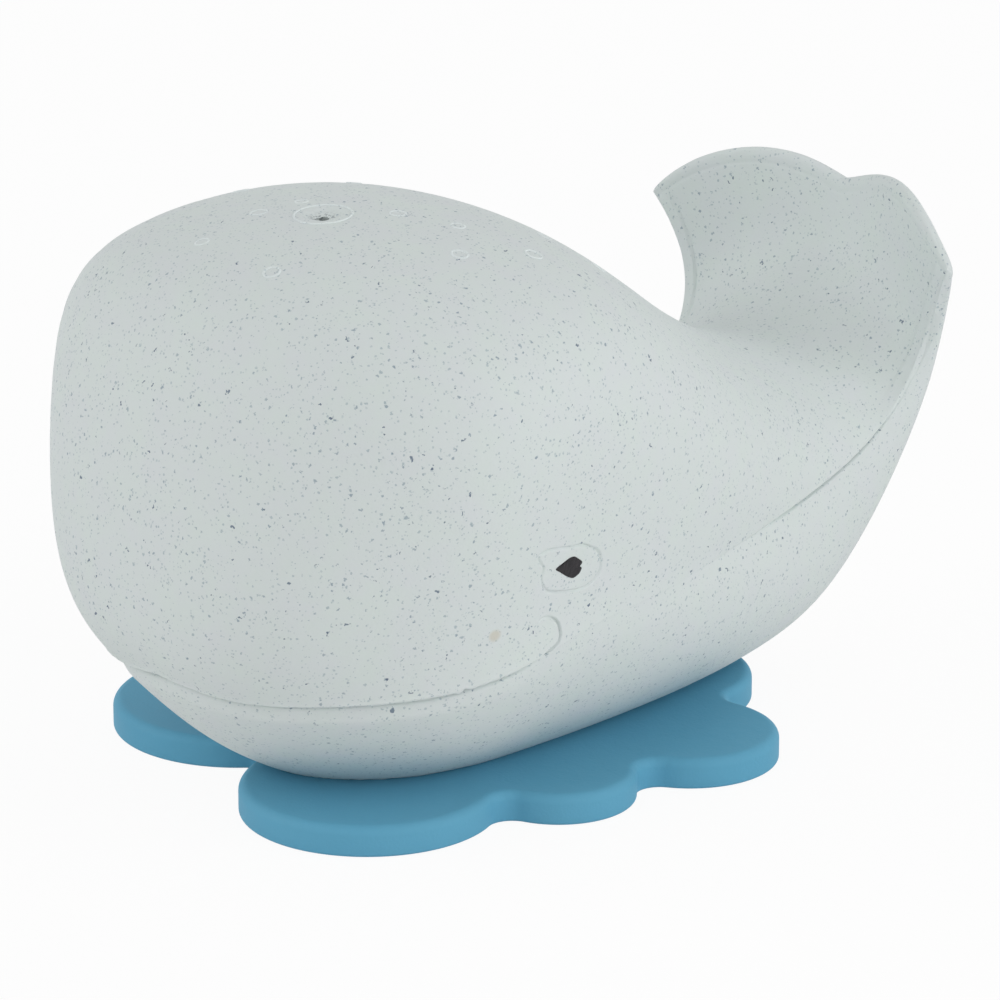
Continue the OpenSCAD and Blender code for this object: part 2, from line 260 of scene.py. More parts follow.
def stadium(length: float, width: float, y: float, steps: int) -> Array:
    """Outline of a bar with round ends along Y, anticlockwise from above.

    Args:
        length: Length over the round ends.
        width: Width of the bar.
        y: Where its middle is.
        steps: Spans on each round end.

    Returns:
        The outline's points, one row each.
    """
    r, straight = width / 2, length - width
    turn = np.linspace(0.0, math.pi, steps + 1)
    back = np.stack([r * np.cos(turn), y + straight / 2 + r * np.sin(turn)], 1)
    front = np.stack([-r * np.cos(turn), y - straight / 2 - r * np.sin(turn)], 1)
    return np.vstack([back, front])


@dataclass(frozen=True)
class WhaleLoft:
    """The whale's outer surface: guide curves at stations from the mouth to the flukes' edge.

    Angle 0 is the left side line, 90 the crown, 180 the right side line and 270 the keel.
    """

    belly_z: float = 4.0
    fluke_t: float = 4.0
    fluke_lobe: float = 4.5
    fluke_stations: float = 4.0
    lobe_power: float = 1.3
    lip_overhang: float = 1.5
    parting_overhang: float = 0.2
    mouth_fade: float = 2.4
    mouth_corner: float = 4.5
    blow_u: float = 4.498
    side_line: tuple = (
        (0, -36.5, 18), (11, -35, 16.5), (21, -28.5, 17), (29.5, -18, 17.5), (34, -7, 19.5),
        (34.5, 4.5, 23.5), (33.5, 17.5, 23.5), (31, 31, 25), (27, 44.5, 25), (22.5, 59, 25.5),
        (20.5, 72.5, 29), (21.5, 79.5, 38.5), (24, 79, 47.5), (27, 77.5, 52.5),
    )
    crown_line: tuple = (
        (-36.5, 18), (-41, 24), (-41, 38), (-33, 65.5), (-20, 70.5), (3.5, 72.5), (18.5, 68),
        (36, 55), (50, 46.5), (62.5, 40.5), (75, 39), (83, 45), (85.5, 49), (86, 57),
    )
    keel_line: tuple = (
        (-36.5, 18), (-32, 11), (-24, 4), (-12, -2.5), (0, -5), (11, -5), (23, -4),
        (39, -3), (55, -1.5), (69, 1), (80.5, 12.5), (86, 29), (90, 42), (90, 54),
    )
    cheek_swell: tuple = (0, 2, 4, 5.5, 11.5, 10, 7.5, 4.5, 2, 0.5, 0, 0, 0, 0)
    jaw_swell: tuple = (0, -2, -4.5, -5, -5, -3.5, -1.5, 1, 2, 2, 1, 0.5, 0.5, 0)
    section_dish: tuple = (0.9, 0.9, 0.85, 0.66, 0.58, 0.6, 0.73, 0.9, 1, 1.2, 1.5, 2.2, 3.5, 4)

    @property
    def last(self) -> int:
        """Station of the flukes' edge."""
        return len(self.side_line) - 1

    def row_at(self, u: Array) -> Array:
        """Section values at stations u, from a cubic B-spline through the guide curves.

        Args:
            u: Stations.

        Returns:
            Side line, crown, keel, swells and dish, one row for each station.
        """
        rows = np.column_stack([
            self.side_line, self.crown_line, self.keel_line,
            self.cheek_swell, self.jaw_swell, self.section_dish,
        ]).astype(float)
        led = np.vstack([2 * rows[0] - rows[1], rows, 2 * rows[-1] - rows[-2]])
        i = np.clip(np.floor(u).astype(int), 0, self.last - 1)
        t = (u - i)[:, None]
        return ((1 - t)**3 * led[i] + (3 * t**3 - 6 * t * t + 4) * led[i + 1]
                + (-3 * t**3 + 3 * t * t + 3 * t + 1) * led[i + 2] + t**3 * led[i + 3]) / 6

    def fluke_share(self, u: Array) -> Array:
        """How far the round stalk has turned into flat flukes."""
        return smooth((u - self.last + self.fluke_stations) / self.fluke_stations)

    def overhang(self, u: Array) -> Array:
        """How far the upper half overhangs the lower half at the side line."""
        mouth = smooth((self.mouth_corner - u) / (self.mouth_corner - self.mouth_fade))
        return self.parting_overhang + (self.lip_overhang - self.parting_overhang) * mouth

    def point(self, u: Array, a: Array, lower: Array) -> Array:
        """Points of the skin, in millimetres.

        Args:
            u: Stations.
            a: Angles in degrees.
            lower: True where the point is on the lower half.

        Returns:
            The points, one row each.
        """
        r = self.row_at(u)
        turn = np.radians(a)
        s, f = np.abs(np.sin(turn)), self.fluke_share(u)
        v = np.abs(np.cos(turn))**self.lobe_power
        dish = s**r[:, 9]
        front = np.where(lower, f * dish, dish)
        back = np.where(lower, s**(1 - f / 2), 0.0)
        swell = np.where(lower, -r[:, 8], r[:, 7])
        x = r[:, 0] * np.cos(turn) + swell * np.sin(2 * turn)
        y = r[:, 1] + (r[:, 3] - r[:, 1]) * front + (r[:, 5] - r[:, 1] - f * (r[:, 3] - r[:, 1])) * back
        z = r[:, 2] + (r[:, 4] - r[:, 2]) * front + (r[:, 6] - r[:, 2] - f * (r[:, 4] - r[:, 2])) * back
        z = np.maximum(0.0, z + self.fluke_lobe * f * 4 * v * (1 - v))
        return np.stack([x, y, z + self.belly_z], 1)

    def normal(self, u: Array, a: Array, lower: Array) -> Array:
        """Outward unit normals of the skin at the same kind of places.

        Args:
            u: Stations.
            a: Angles in degrees.
            lower: True where the point is on the lower half.

        Returns:
            The normals, one row each.
        """
        ends = np.where(lower, 180.0, 0.0)
        low_a, high_a = np.maximum(a - 0.5, ends), np.minimum(a + 0.5, ends + 180.0)
        along = (self.point(np.minimum(u + 0.03, self.last), a, lower)
                 - self.point(np.maximum(u - 0.03, 0.001), a, lower))
        across = self.point(u, high_a, lower) - self.point(u, low_a, lower)
        n = np.cross(along, across)
        return n / np.maximum(np.linalg.norm(n, axis=1, keepdims=True), 1e-9)

    def side(self, u: Array) -> tuple[Array, Array]:
        """Points of the left side line and its outward directions, seen from above.

        Args:
            u: Stations.

        Returns:
            The points and the unit directions, one row for each station.
        """
        rows = self.row_at(u)
        d = self.row_at(np.minimum(u + 0.05, self.last)) - self.row_at(np.maximum(u - 0.05, 0.0))
        out = np.stack([d[:, 1], -d[:, 0], np.zeros(len(u))], 1)
        place = rows[:, :3] + np.array([0.0, 0.0, self.belly_z])
        return place, out / np.linalg.norm(out, axis=1, keepdims=True)

    def seat(self, u: float, a: float, side: Side = Side.LEFT) -> tuple[Array, Array, Array, Array]:
        """A frame on the upper skin.

        Args:
            u: Station.
            a: Angle on the left side, in degrees.
            side: Which side of the whale.

        Returns:
            The place, the direction towards the tail, the one up the skin, and the normal.
        """
        uu, aa, upper = np.array([u]), np.array([a]), np.array([False])
        place, n = self.point(uu, aa, upper)[0], self.normal(uu, aa, upper)[0]
        along = (self.point(uu + 0.03, aa, upper) - self.point(uu - 0.03, aa, upper))[0]
        along /= np.linalg.norm(along)
        flip = np.array([side.value, 1.0, 1.0])
        return place * flip, along * flip, np.cross(n, along) * flip, n * flip


class NodeSheet:
    """A node tree with short ways to add and join nodes."""

    def __init__(self, tree: Tree) -> None:
        """Start on an empty tree."""
        self.tree = tree
        tree.nodes.clear()

    def add(self, kind: str, inputs: dict | None = None, **settings: object) -> bpy.types.Node:
        """Add a node.

        Args:
            kind: The node's type name.
            inputs: Values or output sockets for its inputs, by name or index.
            **settings: The node's own options.

        Returns:
            The new node.
        """
        node = self.tree.nodes.new(kind)
        for option, value in settings.items():
            setattr(node, option, value)
        for key, value in (inputs or {}).items():
            if isinstance(value, Socket):
                self.tree.links.new(value, node.inputs[key])
            else:
                node.inputs[key].default_value = value
        return node

    def maths(self, operation: str, first: object, second: object = 0.0) -> Socket:
        """Add a Math node and return its result."""
        return self.add("ShaderNodeMath", {0: first, 1: second}, operation=operation).outputs[0]

    def blend(self, share: object, first: object, second: object) -> Socket:
        """Mix two colours and return the result."""
        node = self.add("ShaderNodeMix", {0: share, 6: first, 7: second}, data_type="RGBA")
        return node.outputs[2]

    def group(self, tree: Tree, inputs: dict) -> bpy.types.NodeOutputs:
        """Place a shared shader group and return its outputs."""
        return self.add("ShaderNodeGroup", inputs, node_tree=tree).outputs

    def seen(self) -> Socket:
        """1 on rays from the camera, off gloss and through film, 0 on the rays that light the pieces.

        Returns:
            The socket with that value.
        """
        light = self.add("ShaderNodeLightPath").outputs
        indirect = self.maths("MAXIMUM", light["Is Glossy Ray"], light["Is Transmission Ray"])
        return self.maths("MAXIMUM", light["Is Camera Ray"], indirect)


def new_group(name: str, kind: str, takes: Sequence[tuple], gives: Sequence[tuple]) -> NodeSheet:
    """Start a node group.

    Args:
        name: Name of the group.
        kind: Type of its tree.
        takes: Name, socket type and default value of each input.
        gives: Name and socket type of each output.

    Returns:
        A sheet over the empty group.
    """
    tree = bpy.data.node_groups.new(name, kind)
    for label, socket, value in takes:
        made = tree.interface.new_socket(label, in_out="INPUT", socket_type=socket)
        if value is not None:
            made.default_value = value
    for label, socket in gives:
        tree.interface.new_socket(label, in_out="OUTPUT", socket_type=socket)
    return NodeSheet(tree)


class SurfaceEffects:
    """Shader node groups that several finishes share, each built once."""

    def __init__(self) -> None:
        """Build the groups."""
        self.flecks = self._flecks()
        self.drift = self._drift()
        self.grain = self._grain()

    def _flecks(self) -> Tree:
        """Ragged specks scattered through the material, with a mask and a tone for each.

        Returns:
            The node group.
        """
        sheet = new_group(
            "Scattered Flecks", "ShaderNodeTree",
            [("Vector", "NodeSocketVector", None), ("Cells", "NodeSocketFloat", 700.0),
             ("Radius", "NodeSocketFloat", 0.2), ("Ragged", "NodeSocketFloat", 0.3),
             ("Share", "NodeSocketFloat", 1.0), ("Clump", "NodeSocketFloat", 0.5)],
            [("Mask", "NodeSocketFloat"), ("Tone", "NodeSocketFloat")],
        )
        taken = sheet.add("NodeGroupInput").outputs
        scaled = sheet.add("ShaderNodeVectorMath", {0: taken["Vector"], 3: taken["Cells"]}, operation="SCALE")
        noise = sheet.add("ShaderNodeTexNoise", {"Vector": scaled.outputs[0], "Scale": 3.1, "Detail": 2.0})
        push = sheet.add(
            "ShaderNodeVectorMath", {0: noise.outputs["Color"], 1: (0.5, 0.5, 0.5)}, operation="SUBTRACT")
        pushed = sheet.add("ShaderNodeVectorMath", {0: push.outputs[0], 3: taken["Ragged"]}, operation="SCALE")
        place = sheet.add("ShaderNodeVectorMath", {0: scaled.outputs[0], 1: pushed.outputs[0]}, operation="ADD")
        cells = sheet.add("ShaderNodeTexVoronoi", {"Vector": place.outputs[0], "Scale": 1.0, "Randomness": 1.0})
        chance = sheet.add("ShaderNodeSeparateColor", {0: cells.outputs["Color"]})
        spread = sheet.maths("MULTIPLY_ADD", chance.outputs[0], 0.7)
        spread.node.inputs[2].default_value = 0.3
        radius = sheet.maths("MULTIPLY", spread, taken["Radius"])
        thick = sheet.add("ShaderNodeTexNoise", {"Vector": taken["Vector"], "Scale": 110.0, "Detail": 2.0})
        crowd = sheet.maths("MULTIPLY_ADD", sheet.maths("SUBTRACT", thick.outputs[0], 0.5), taken["Clump"])
        sheet.tree.links.new(taken["Share"], crowd.node.inputs[2])
        kept = sheet.maths("LESS_THAN", chance.outputs[1], crowd)
        inner = sheet.maths("MULTIPLY", radius, 0.7)
        mask = sheet.add(
            "ShaderNodeMapRange",
            {0: cells.outputs["Distance"], 1: inner, 2: radius, 3: 1.0, 4: 0.0},
            interpolation_type="SMOOTHSTEP",
        )
        sheet.add("NodeGroupOutput", {"Mask": sheet.maths("MULTIPLY", mask.outputs[0], kept),
                                      "Tone": chance.outputs[2]})
        return sheet.tree

    def _drift(self) -> Tree:
        """Slow change of tone over a moulding.

        Returns:
            The node group.
        """
        sheet = new_group(
            "Tone Drift", "ShaderNodeTree",
            [("Vector", "NodeSocketVector", None), ("Scale", "NodeSocketFloat", 30.0)],
            [("Tone", "NodeSocketFloat")],
        )
        taken = sheet.add("NodeGroupInput").outputs
        noise = sheet.add("ShaderNodeTexNoise", {"Vector": taken["Vector"], "Scale": taken["Scale"],
                                                 "Detail": 4.0, "Roughness": 0.55})
        tone = sheet.add("ShaderNodeMapRange", {0: noise.outputs[0], 1: 0.3, 2: 0.7})
        sheet.add("NodeGroupOutput", {"Tone": tone.outputs[0]})
        return sheet.tree

    def _grain(self) -> Tree:
        """Fine uneven skin that a mould leaves, as a height.

        Returns:
            The node group.
        """
        sheet = new_group(
            "Moulded Grain", "ShaderNodeTree",
            [("Vector", "NodeSocketVector", None), ("Scale", "NodeSocketFloat", 2500.0),
             ("Swell", "NodeSocketFloat", 400.0)],
            [("Height", "NodeSocketFloat")],
        )
        taken = sheet.add("NodeGroupInput").outputs
        fine = sheet.add("ShaderNodeTexNoise", {"Vector": taken["Vector"], "Scale": taken["Scale"], "Detail": 3.0})
        slow = sheet.add("ShaderNodeTexNoise", {"Vector": taken["Vector"], "Scale": taken["Swell"], "Detail": 2.0})
        both = sheet.maths("MULTIPLY_ADD", slow.outputs[0], 1.6)
        sheet.tree.links.new(fine.outputs[0], both.node.inputs[2])
        sheet.add("NodeGroupOutput", {"Height": both})
        return sheet.tree


@dataclass(frozen=True)
class Finish:
    """What every finish has: a name, a colour pair that drifts over the piece, gloss and grain."""

    name: str
    tone: Colour
    other_tone: Colour
    roughness: float
    specular: float
    drift_scale: float = 35.0
    grain_scale: float = 2600.0
    grain_swell: float = 420.0
    bump_m: float = 0.00006
    bump_share: float = 0.6
    rough_swing: float = 0.04

    def material(self, effects: SurfaceEffects) -> Material:
        """Build the finish as a material.

        Args:
            effects: The shared node groups.

        Returns:
            The new material.
        """
        made = bpy.data.materials.new(self.name)
        made.use_nodes = True
        sheet = NodeSheet(made.node_tree)
        place = sheet.add("ShaderNodeTexCoord").outputs["Object"]
        drift = sheet.group(effects.drift, {"Vector": place, "Scale": self.drift_scale})["Tone"]
        colour = sheet.blend(drift, (*self.tone, 1.0), (*self.other_tone, 1.0))
        grain = sheet.group(effects.grain, {
            "Vector": place, "Scale": self.grain_scale, "Swell": self.grain_swell})["Height"]
        colour, height = self.detail(sheet, effects, place, colour, grain)
        rough = sheet.add("ShaderNodeMapRange", {
            0: drift, 3: self.roughness - self.rough_swing, 4: self.roughness + self.rough_swing}).outputs[0]
        bump = sheet.add("ShaderNodeBump", {
            "Height": height, "Strength": self.bump_share, "Distance": self.bump_m})
        shader = sheet.add("ShaderNodeBsdfPrincipled", {
            "Base Color": colour, "Roughness": rough, "Normal": bump.outputs[0],
            "Specular IOR Level": self.specular})
        sheet.add("ShaderNodeOutputMaterial", {"Surface": shader.outputs[0]})
        return made

    def detail(self, sheet: NodeSheet, effects: SurfaceEffects, place: Socket,
               colour: Socket, grain: Socket,
               ) -> tuple[Socket, Socket]:
        """Add what is special to the finish; a plain one adds nothing.

        Args:
            sheet: The material's node sheet.
            effects: The shared node groups.
            place: Object coordinates.
            colour: The drifting colour.
            grain: Height of the grain.

        Returns:
            The colour and the height to use.
        """
        return colour, grain


@dataclass(frozen=True)
class FleckLayer:
    """One population of flecks.

    Cells to the metre, radius and raggedness in cells, the share of cells with a fleck and how far it
    clumps, the colours between which flecks range, and how strongly they cover the rubber.
    """

    cells: float
    radius: float
    ragged: float
    share: float
    clump: float
    pale: Colour
    deep: Colour
    strength: float


@dataclass(frozen=True)
class StainAndShadeMark:
    """A small round patch of other colour on the rubber, in metres, grainy where grain is above 0; it serves both
    for a stain and for painted shade in a hollow.
    """

    at: tuple[float, float, float]
    radius: float
    tone: Colour
    strength: float
    grain: float = 0.0


@dataclass(frozen=True)
class SpeckledRubber(Finish):
    """Natural rubber with ground flecks all through it."""

    layers: tuple[FleckLayer, ...] = ()
    marks: tuple[StainAndShadeMark, ...] = ()
    fleck_sink: float = 0.5

    def detail(self, sheet: NodeSheet, effects: SurfaceEffects, place: Socket,
               colour: Socket, grain: Socket,
               ) -> tuple[Socket, Socket]:
        """Add the flecks, layer on layer, and the marks: a stain and painted shade.

        Args:
            sheet: The material's node sheet.
            effects: The shared node groups.
            place: Object coordinates.
            colour: The drifting colour.
            grain: Height of the grain.

        Returns:
            The colour and the height to use.
        """
        height = grain
        for layer in self.layers:
            flecks = sheet.group(effects.flecks, {
                "Vector": place, "Cells": layer.cells, "Radius": layer.radius,
                "Ragged": layer.ragged, "Share": layer.share, "Clump": layer.clump})
            tone = sheet.blend(flecks["Tone"], (*layer.pale, 1.0), (*layer.deep, 1.0))
            share = sheet.maths("MULTIPLY", flecks["Mask"], layer.strength)
            colour = sheet.blend(share, colour, tone)
            height = sheet.maths("SUBTRACT", height, sheet.maths("MULTIPLY", share, self.fleck_sink))
        for mark in self.marks:
            away = sheet.add("ShaderNodeVectorMath", {0: place, 1: mark.at}, operation="DISTANCE")
            spot = sheet.add("ShaderNodeMapRange", {
                0: away.outputs["Value"], 1: mark.radius * 0.4, 2: mark.radius, 3: mark.strength, 4: 0.0},
                interpolation_type="SMOOTHSTEP").outputs[0]
            # A grainy mark is painted shade over the blowhole's pit.
            if mark.grain > 0.0:
                noise = sheet.add("ShaderNodeTexNoise", {"Vector": place, "Scale": mark.grain, "Detail": 2.0})
                shade_grains = sheet.add("ShaderNodeMapRange", {0: noise.outputs[0], 1: 0.5, 2: 0.58})
                spot = sheet.maths("MULTIPLY", spot, shade_grains.outputs[0])
            colour = sheet.blend(spot, colour, (*mark.tone, 1.0))
        return colour, height


def paint_all(piece: Piece, finish: Material) -> None:
    """Give a piece one material."""
    piece.data.materials.clear()
    piece.data.materials.append(finish)


class Moulding:
    """A piece that its class builds, and that is then dressed and handed to the frame."""

    piece: Piece | None = None

    def dress(self, finish: Material) -> None:
        """Give the built piece its one material."""
        paint_all(self.piece, finish)


@dataclass
class WhaleBody(Moulding):
    """The hollow rubber whale, with its mouth, eye outlines, blowhole and tail crease."""

    loft: WhaleLoft
    wall: float = 3.0
    cove_h: float = 4.0
    lip_round: float = 0.2
    lip_bead: float = 0.1
    lip_slit: float = 1.6
    slit_w: float = 0.7
    crease_depth: float = 0.6
    crease_w: float = 0.22
    rim_w: float = 1.9
    rim_h: float = 0.25
    tip_w: float = 0.9
    tip_groove: float = 0.07
    groove_w: float = 0.17
    eye_groove: float = 0.3
    curl_groove: float = 0.45
    opening_l: float = 36.0
    opening_w: float = 18.0
    blow_d: float = 2.4
    dish_r: float = 3.0
    dish_depth: float = 0.3
    pit_r: float = 1.9
    pit_depth: float = 0.4
    hole_mouth: float = 0.8
    barrel_d: float = 10.2
    barrel_top: float = 71.3989
    barrel_foot: float = 59.2989
    flange_t: float = 1.2
    socket_d: float = 15.0
    eye_u: float = 4.68
    eye_a: float = 4.0
    line_rows: tuple = (
        0.1, 0.2, 0.3, 0.42, 0.55, 0.7, 0.86, 1.04, 1.24, 1.46, 1.7, 1.96, 2.24, 2.54, 2.86, 3.2, 3.6, 4.1,
    )
    cheek_reach: float = 18.0
    cheek_rows: int = 20
    far_rows: int = 22
    runs: tuple = (
        (0.0, 0.6, 20), (0.6, 3.2, 48), (3.2, 5.0, 60), (5.0, 8.0, 44), (8.0, 11.0, 46),
        (11.0, 12.5, 24), (12.5, 13.0, 20),
    )
    edge_turns: tuple = (15.0, 30.0, 45.0, 60.0, 75.0, 86.0)
    eye_outline: tuple = (
        (-5.8, 3.8), (-5.4, 2.6), (-4.8, 1.7), (-5.0, 0.1), (-4.3, -1.4), (-3.3, -2.2), (-1.3, -2.95), (0.7, -3.5),
        (2.6, -3.7), (4.15, -3.35), (5.1, -2.5), (5.25, -1.0), (4.6, 0.65), (3.2, 1.75), (1.6, 2.7), (-0.6, 3.2),
        (-2.2, 3.65), (-4.1, 4.05),
    )
    mouth_curl: tuple = (
        (4.35, 0.0), (4.515, 0.027), (4.545, 0.066), (4.565, 0.177), (4.545, 0.535), (4.48, 0.896), (4.38, 1.206),
        (4.295, 1.23),
    )
    lip_nicks: tuple = ((3.39, 0.025, 0.3), (3.31, 0.03, -0.2))
    lip_ripple: float = 0.05
    crease_run: tuple = (7.4, 12.2, 1.6)
    rim_run: tuple = (10.2, 13.6, 1.0)
    relief_end: float = 12.55
    face_stations: float = 1.2
    face_angle: float = 24.0
    refine_reach: tuple = (1.3, 0.7, 0.4)
    full_girth: float = 30.0
    level_from: float = 10.0
    pit_rough: float = 0.16
    cavity_run: tuple = (0.7, 10.2)
    cavity_rings: int = 40
    cavity_half: int = 24
    clear_top: float = 100.0

    def build(self) -> Piece:
        """Build the whale: skin, relief, then the hollows cut from it.

        Returns:
            The finished object.
        """
        self.piece = self._grid()
        self._refine()
        self._shape()
        settle(self.piece, 60.0)
        for tool in self._tools():
            carve(self.piece, tool)
        settle(self.piece, 38.0)
        return self.piece

    def _quarter(self, stations: Array, lower: bool) -> Array:
        """Angles of each ring's points from the side line to the middle plane, closest near the line.

        Args:
            stations: Station of each ring.
            lower: Whether the points are on the lower half.

        Returns:
            Angles from 0 to 90 degrees, one row for each ring.
        """
        fine = 90.0 * np.linspace(0.0, 1.0, 500)**4
        u = np.repeat(stations, len(fine))
        a = np.tile(360.0 - fine if lower else fine, len(stations))
        p = self.loft.point(u, a, np.full(len(u), lower)).reshape(len(stations), len(fine), 3)
        gone = np.linalg.norm(np.diff(p, axis=1, prepend=p[:, :1]), axis=2).cumsum(axis=1)
        rows = []
        for reached in gone:
            scale = min(1.0, reached[-1] / self.full_girth)
            close = np.array((0.0, *self.line_rows)) * scale
            cheek = np.linspace(close[-1], self.cheek_reach * scale, self.cheek_rows + 1)[1:]
            far = np.linspace(cheek[-1], reached[-1], self.far_rows + 1)[1:]
            rows.append(np.interp(np.concatenate([close, cheek, far]), reached, fine))
        return np.array(rows)

    def _grid(self) -> Piece:
        """Lay the skin's rings over stations and angles, kept as attributes of each vertex.

        Returns:
            The new object.
        """
        stations = np.unique(np.concatenate([np.linspace(a, b, n + 1) for a, b, n in self.runs]))[1:]
        up, down = self._quarter(stations, False), self._quarter(stations, True)
        down += (up - down) * smooth((stations - self.level_from) / (self.loft.last - self.level_from))[:, None]
        angles = np.hstack([up, 180.0 - up[:, -2::-1], 180.0 + down, 360.0 - down[:, -2::-1]])
        turns = np.array(self.edge_turns)
        rings, n = len(stations) + len(turns), angles.shape[1]
        u = np.concatenate([[0.0, 0.0], np.repeat(stations, n), np.full(len(turns) * n, float(self.loft.last))])
        a = np.concatenate([[90.0, 270.0], angles.ravel(), np.tile(angles[-1], len(turns))])
        low = np.concatenate([[0.0, 1.0], np.tile(np.repeat([0.0, 1.0], n // 2), rings)])
        edge = np.concatenate([np.zeros(2 + len(stations) * n), np.repeat(turns, n)])
        top, end = n // 2 - 1, 2 + (rings - 1) * n
        faces = [[2 + k, 3 + k, 0 if k < top else 1] for k in range(n - 1) if k != top]
        faces += [[0, 1, 2 + n - 1], [0, 2 + n - 1, 2], [1, 0, 2 + top], [1, 2 + top, 3 + top]]
        faces += [f[::-1] for f in tube_faces(rings, n, 2)]
        faces += [[end + k, end + k + 1, end + n - 2 - k, end + n - 1 - k] for k in range(n // 2 - 1)]
        piece = new_object("whale_skin", self.loft.point(u, a, low > 0.5), faces)
        for name, values in (("run", u), ("turn", a), ("low", low), ("edge", edge)):
            piece.data.attributes.new(name, "FLOAT", "POINT").data.foreach_set("value", values.astype(np.float32))
        return piece

    def _curve_points(self) -> list[Array]:
        """Centre lines of the eye outline and of the mouth's curl, on the left side, in millimetres.

        Returns:
            The two lines, a point in each row.
        """
        place, along, up, _ = self.loft.seat(self.eye_u, self.eye_a)
        flat = closed_curve(self.eye_outline, 16)
        eye = place + flat[:, :1] * along + flat[:, 1:] * up
        curl = np.array(self.mouth_curl)
        return [eye, open_curve(self.loft.point(curl[:, 0], curl[:, 1], np.zeros(len(curl), bool)), 30)]

    def _refine(self) -> None:
        """Split the faces along the fine grooves, closer each time, so that the mesh can hold them."""
        lines = np.vstack([line * (sign, 1, 1) for line in self._curve_points() for sign in (1, -1)])
        bm = bmesh.new()
        bm.from_mesh(self.piece.data)
        low = bm.verts.layers.float["low"]
        for reach in self.refine_reach:
            centres = np.array([f.calc_center_median() for f in bm.faces]) / MM
            near = np.flatnonzero(np.abs(centres[:, 0]) > 20.0)
            close = near[nearest(centres[near], lines)[0] < reach]
            bm.faces.ensure_lookup_table()
            chosen = [bm.faces[i] for i in close if all(v[low] < 0.01 for v in bm.faces[i].verts)]
            edges = list({e for f in chosen for e in f.edges})
            bmesh.ops.subdivide_edges(bm, edges=edges, cuts=1, use_grid_fill=True)
        bm.to_mesh(self.piece.data)
        bm.free()

    def _read(self, name: str) -> Array:
        """Read one vertex attribute of the skin.

        Args:
            name: Name of the attribute.

        Returns:
            A value for each vertex.
        """
        values = np.zeros(len(self.piece.data.vertices), np.float32)
        self.piece.data.attributes[name].data.foreach_get("value", values)
        return values.astype(float)

    def _shape(self) -> None:
        """Put every vertex on the loft and add the relief."""
        loft = self.loft
        u, a, edge = self._read("run"), self._read("turn"), self._read("edge")
        low = self._read("low") > 0.5
        p = loft.point(u, a, low)
        n = loft.normal(np.maximum(u, 0.02), a, low)
        p = self._relief(p, n, u, a, low)
        rounded = edge > 0.0
        last = np.full(int(rounded.sum()), float(loft.last))
        here = loft.point(last, a[rounded], low[rounded])
        there = loft.point(last, 360.0 - a[rounded], ~low[rounded])
        ends = np.array([loft.last, loft.last - 0.05])
        crown = loft.point(ends, np.full(2, 90.0), np.zeros(2, bool))
        tip = crown[0] - crown[1]
        gap = np.linalg.norm(here - there, axis=1, keepdims=True)
        lift = tip / np.linalg.norm(tip) * np.minimum(gap, loft.fluke_t) / 2
        turn = np.radians(edge[rounded])[:, None]
        middle = (here + there) / 2
        p[rounded] = middle + (here - middle) * np.cos(turn) + lift * np.sin(turn)
        self.piece.data.vertices.foreach_set("co", (p * MM).astype(np.float32).ravel())
        self.piece.data.update()

    def _relief(self, p: Array, n: Array, u: Array, a: Array, low: Array) -> Array:
        """Shape the lips, the parting line, the tail's crease and rim, the eye outlines and the mouth's curls.

        Args:
            p: Points on the loft.
            n: Normals there.
            u: Stations.
            a: Angles in degrees.
            low: True on the lower half.

        Returns:
            The moved points.
        """
        loft = self.loft
        run = np.linspace(0.0, loft.last, 1400)
        line, out = loft.side(run)
        flip = np.array([-1.0, 1.0, 1.0])
        away, index = nearest(p, np.vstack([line, line * flip]))
        at = np.tile(run, 2)[index]
        out = np.vstack([out, out * flip])[index]
        mouth = smooth((loft.mouth_corner - at) / (loft.mouth_corner - loft.mouth_fade))
        open_share = smooth((loft.mouth_corner - 0.15 - at) / 0.4)
        cove = loft.overhang(at) * (1.0 - smooth(away / self.cove_h)) * (0.5 + 0.5 * smooth(at / 1.4))
        cove += self.lip_slit * open_share * (0.75 + 0.25 * mouth) * np.exp(-(away / self.slit_w)**2)
        radius = 0.1 + (self.lip_round - 0.1) * np.maximum(mouth, 0.4 * open_share)
        inset = np.maximum(radius - away, 0.0)
        fillet = radius - np.sqrt(np.maximum(radius**2 - inset**2, 0.0))
        bead = self.lip_bead * open_share * np.exp(-((away - 0.3) / 0.2)**2)
        ends = 1.0 - smooth((u - self.relief_end) / (loft.last - self.relief_end))
        shift = np.where(low, -cove, bead - fillet) * ends
        nick = sum(high * np.exp(-((at - spot) / wide)**2) for spot, wide, high in self.lip_nicks)
        ragged = (self.lip_ripple * ripple(at * 14.0, 0.4) + nick) * open_share * (1.0 - smooth(away / 1.2))
        moved = p + out * shift[:, None] + np.array([0.0, 0.0, 1.0]) * ragged[:, None]
        crease = self.crease_depth * window(at, *self.crease_run) * np.exp(-(away / self.crease_w)**2)
        rim = window(at, *self.rim_run)
        land = self.rim_h * rim * (1.0 - smooth((away - self.rim_w) / 0.3))
        land *= np.where(low, 0.0, smooth((away - 0.1) / 0.3))
        line_in = 0.1 * rim * np.exp(-((away - self.rim_w - 0.4) / 0.2)**2)
        height = (land - crease - np.where(low, 0.0, line_in)) * ends
        tips = np.flatnonzero((u > 12.0) & ~low)
        sweep = np.linspace(0.0, 180.0, 400)
        edge_line = loft.point(np.full(len(sweep), float(loft.last)), sweep, np.zeros(len(sweep), bool))
        to_tip = nearest(p[tips], edge_line)[0]
        height[tips] -= self.tip_groove * np.exp(-((to_tip - self.tip_w) / 0.24)**2)
        mirrored = p * np.where(p[:, :1] < 0.0, flip, 1.0)
        eye, curl = self._curve_points()
        near = np.flatnonzero(
            ~low & (np.abs(u - self.eye_u) < self.face_stations) & (np.minimum(a, 180.0 - a) < self.face_angle))
        to_eye = nearest(mirrored[near], eye)[0]
        to_curl, spot = nearest(mirrored[near], curl)
        height[near] -= self.eye_groove * np.exp(-(to_eye / self.groove_w)**2)
